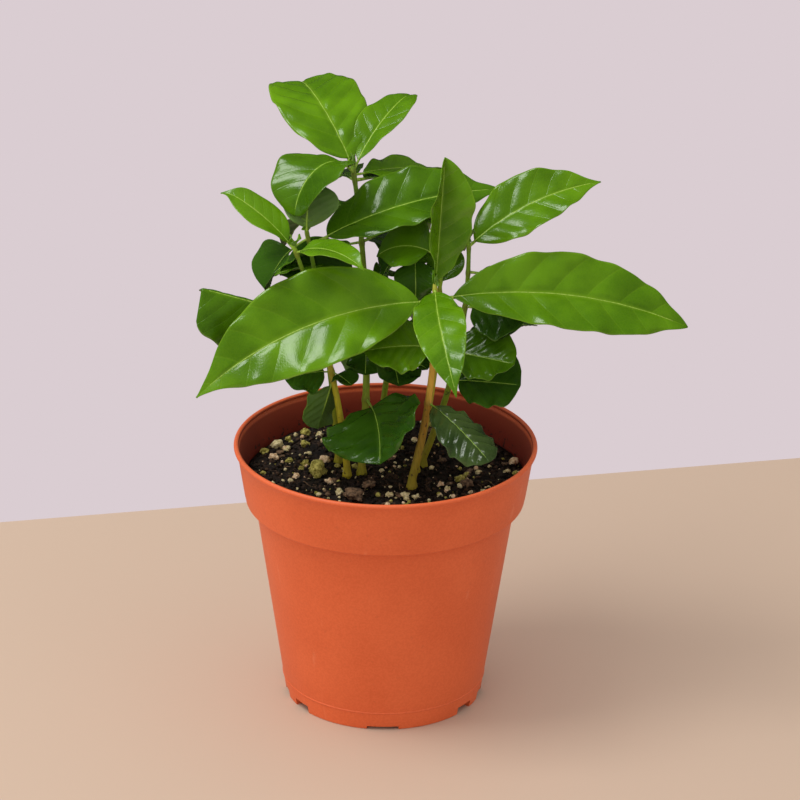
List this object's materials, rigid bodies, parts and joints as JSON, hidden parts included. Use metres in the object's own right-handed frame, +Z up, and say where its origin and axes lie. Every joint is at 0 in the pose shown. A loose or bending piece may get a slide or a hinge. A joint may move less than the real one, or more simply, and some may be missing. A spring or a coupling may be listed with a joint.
{
  "type": "young coffee plant",
  "caption": "Potted clump of young coffee seedlings with glossy opposite leaves, in a terracotta-coloured plastic nursery pot filled with potting mix.",
  "frame": {"origin": "centre of the pot's flat underside, on the surface it stands on", "axes": "+Z up along the pot's axis; -Y is the plant's front, +X to its right as seen from the front"},
  "size_m": [0.2427, 0.1795, 0.2977],
  "materials": {
    "pot": "smooth semi-matt terracotta-orange moulded plastic",
    "soil": "dark, damp, granular potting mix with pale perlite grains and bark",
    "stem": "thin young bark, olive to orange-brown, matt",
    "foliage": "glossy waxy green leaves with sunken side veins and a paler midrib"
  },
  "bodies": {
    "root": {"pot": "pot", "soil": "soil", "stem_front": "stem", "stem_left": "stem", "stem_left_back": "stem", "stem_tall": "stem", "stem_middle": "stem", "stem_right": "stem", "stem_right_leaning": "stem", "foliage_front": "foliage", "foliage_left": "foliage", "foliage_left_back": "foliage", "foliage_tall": "foliage", "foliage_middle": "foliage", "foliage_right": "foliage", "foliage_right_leaning": "foliage"}
  },
  "joints": []
}
